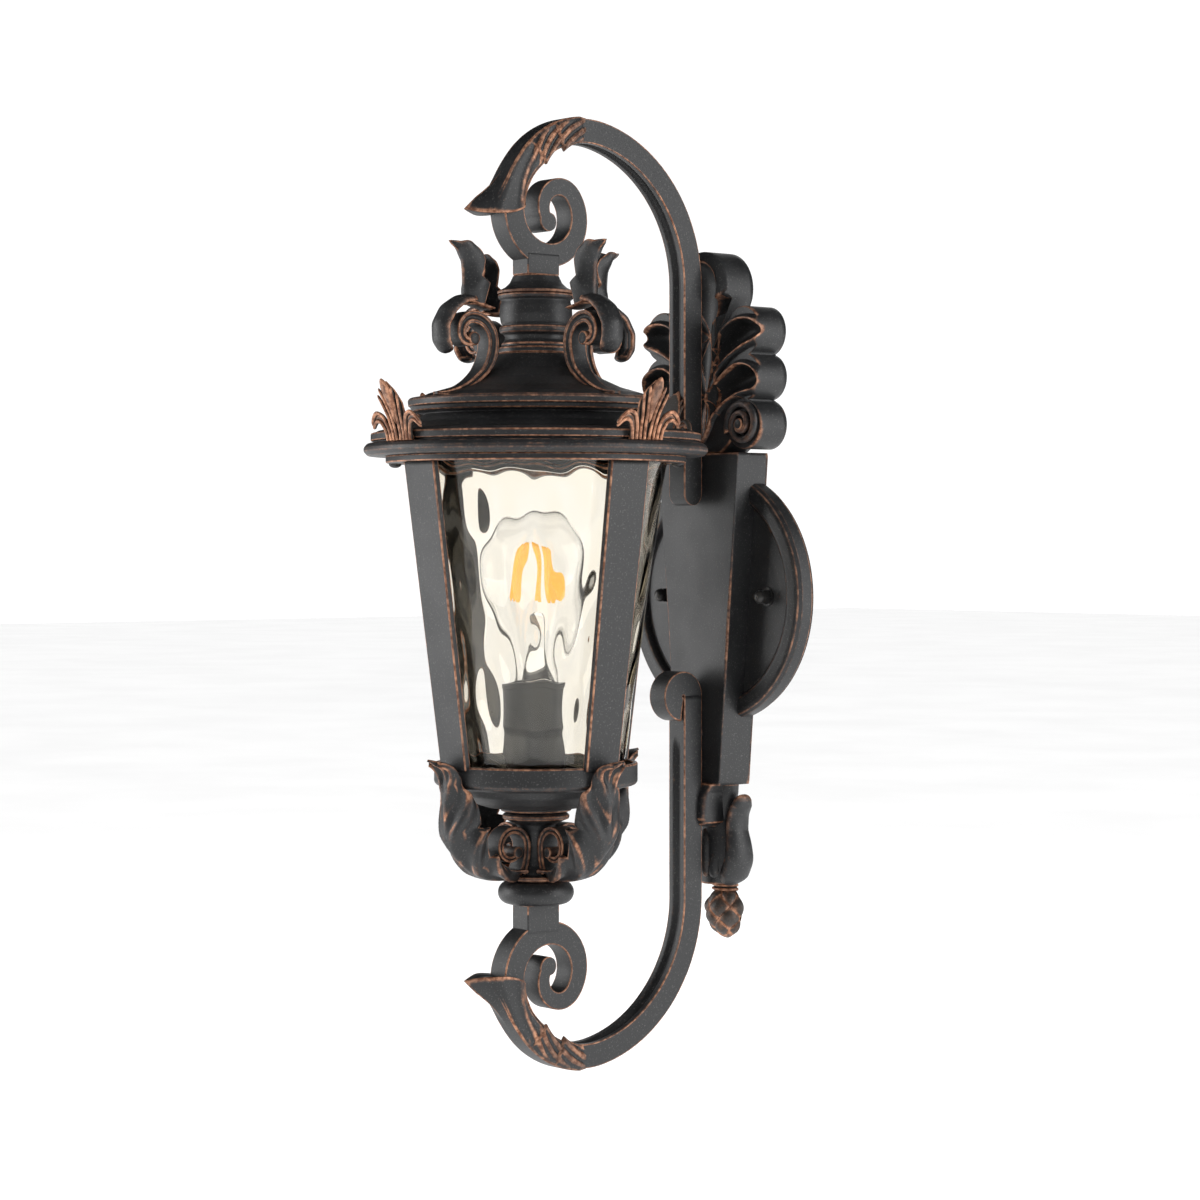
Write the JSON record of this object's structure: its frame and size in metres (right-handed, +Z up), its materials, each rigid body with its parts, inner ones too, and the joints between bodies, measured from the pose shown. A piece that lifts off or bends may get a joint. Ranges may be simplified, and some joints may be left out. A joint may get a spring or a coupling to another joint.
{
  "type": "outdoor wall lantern",
  "caption": "Outdoor wall lantern: tapered rippled-glass cage with a bell roof, hung between two scrolled arms on a shell-crested wall plate with a round canopy.",
  "frame": {"origin": "centre of the round canopy, on the wall plane, midway between the wall bracket's two slots", "axes": "+Z up, along the lantern's height; +Y into the wall, so the lantern stands out towards -Y; +X to the right when facing the wall"},
  "size_m": [0.21, 0.253, 0.549],
  "materials": {
    "black_metal": "satin black powder coat with fine speckle, brushed bronze along the edges",
    "bronzed_metal": "black powder coat dry-brushed with bronze on the raised ornament",
    "dark_fixings": "satin black",
    "zinc_steel": "zinc plated",
    "rubber": "matt",
    "champagne_glass": "rippled, faint champagne tint",
    "clear_glass": "clear",
    "filament": "yellow phosphor strips",
    "black_plastic": "matt black thermoset",
    "ivory_plastic": "matt",
    "brass": "bright",
    "nickel_cap": "satin"
  },
  "bodies": {
    "lantern": {"wall_bracket": "zinc_steel", "bracket_studs": "zinc_steel", "wall_gasket": "rubber", "canopy": "black_metal", "canopy_washers": "zinc_steel", "cable_grommet": "rubber", "terminal_block": "ivory_plastic", "wall_panel": "black_metal", "panel_screws": "zinc_steel", "crest_shell": "black_metal", "drop_leaf": "bronzed_metal", "cone_collar": "bronzed_metal", "pine_cone": "bronzed_metal", "upper_arm": "black_metal", "upper_arm_leaf": "bronzed_metal", "lower_arm": "black_metal", "lower_arm_leaf": "bronzed_metal", "arm_screws": "zinc_steel", "roof_cap": "black_metal", "roof_neck": "black_metal", "roof_shell": "black_metal", "cap_bolt": "zinc_steel", "palmette_front": "bronzed_metal", "palmette_right": "bronzed_metal", "palmette_back": "bronzed_metal", "palmette_left": "bronzed_metal", "roof_scroll_front": "black_metal", "roof_scroll_right": "black_metal", "roof_scroll_back": "black_metal", "roof_scroll_left": "black_metal", "cage_top_ring": "black_metal", "cage_bar_front": "black_metal", "cage_bar_right": "black_metal", "cage_bar_back": "black_metal", "cage_bar_left": "black_metal", "base_cup": "black_metal", "glass_shade": "champagne_glass", "top_gasket": "rubber", "bottom_gasket": "rubber", "lampholder": "black_plastic", "holder_shell": "brass", "holder_contact": "brass", "tie_rod": "zinc_steel", "lock_nut": "zinc_steel", "neck_spool": "black_metal", "bun": "black_metal", "leaf_bracket_front": "bronzed_metal", "leaf_bracket_right": "bronzed_metal", "leaf_bracket_back": "bronzed_metal", "leaf_bracket_left": "bronzed_metal"},
    "nut_left": {"cap_nut_left": "dark_fixings"},
    "nut_right": {"cap_nut_right": "dark_fixings"},
    "screw_left": {"rim_screw_left": "dark_fixings"},
    "screw_right": {"rim_screw_right": "dark_fixings"},
    "lamp": {"bulb_cap": "nickel_cap", "bulb_glass": "clear_glass", "bulb_stem": "clear_glass", "bulb_filaments": "filament"}
  },
  "joints": [
    {"name": "nut_left_turn", "type": "hinge", "parent": "lantern", "child": "nut_left", "pos_m": [-0.0445, -0.012, 0], "axis": [0, -1, 0], "continuous": true},
    {"name": "nut_right_turn", "type": "hinge", "parent": "lantern", "child": "nut_right", "pos_m": [0.0445, -0.012, 0], "axis": [0, -1, 0], "continuous": true},
    {"name": "screw_left_turn", "type": "hinge", "parent": "lantern", "child": "screw_left", "pos_m": [-0.05728, -0.20528, 0.08], "axis": [0, 0, 1], "continuous": true},
    {"name": "screw_right_turn", "type": "hinge", "parent": "lantern", "child": "screw_right", "pos_m": [0.05728, -0.09072, 0.08], "axis": [0, 0, 1], "continuous": true},
    {"name": "lamp_lift", "type": "slide", "parent": "lantern", "child": "lamp", "axis": [0, 0, 1], "range_m": [0, 0.026]}
  ]
}
